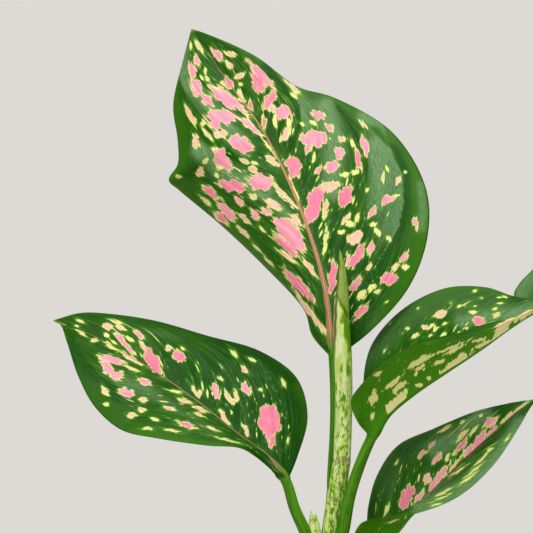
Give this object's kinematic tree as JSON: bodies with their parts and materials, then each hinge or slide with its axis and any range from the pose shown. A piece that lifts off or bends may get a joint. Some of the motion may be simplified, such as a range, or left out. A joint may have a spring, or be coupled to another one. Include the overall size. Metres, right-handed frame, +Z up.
{
  "type": "potted chinese evergreen",
  "caption": "Pink-spotted evergreen house plant with broad pointed leaves on upright shoots, growing in a tapered clay pot.",
  "frame": {"origin": "middle of the pot's flat base, on the surface that the pot stands on", "axes": "+Z up along the pot's axis, +X to the right and -Y towards the viewer of the picture's side"},
  "size_m": [0.4077, 0.3274, 0.4354],
  "materials": {
    "clay": "unglazed, matte",
    "soil": "moist potting mix",
    "leaf": "satin leaf, green with pink and cream spots",
    "stem": "smooth, cream mottled with green",
    "new_leaf": "smooth rolled leaf, cream and green"
  },
  "bodies": {
    "root": {"pot": "clay", "soil": "soil", "main_stem": "stem", "side_stem": "stem", "main_new_leaf": "new_leaf", "side_new_leaf": "new_leaf", "young_shoot": "new_leaf", "top_leaf": "leaf", "left_leaf": "leaf", "right_upper_leaf": "leaf", "right_lower_leaf": "leaf", "side_shoot_top_leaf": "leaf", "side_shoot_right_leaf": "leaf", "side_shoot_back_leaf": "leaf", "side_shoot_front_leaf": "leaf", "side_shoot_lower_leaf": "leaf", "lower_front_leaf": "leaf", "lower_left_leaf": "leaf", "lower_back_leaf": "leaf"}
  },
  "joints": []
}
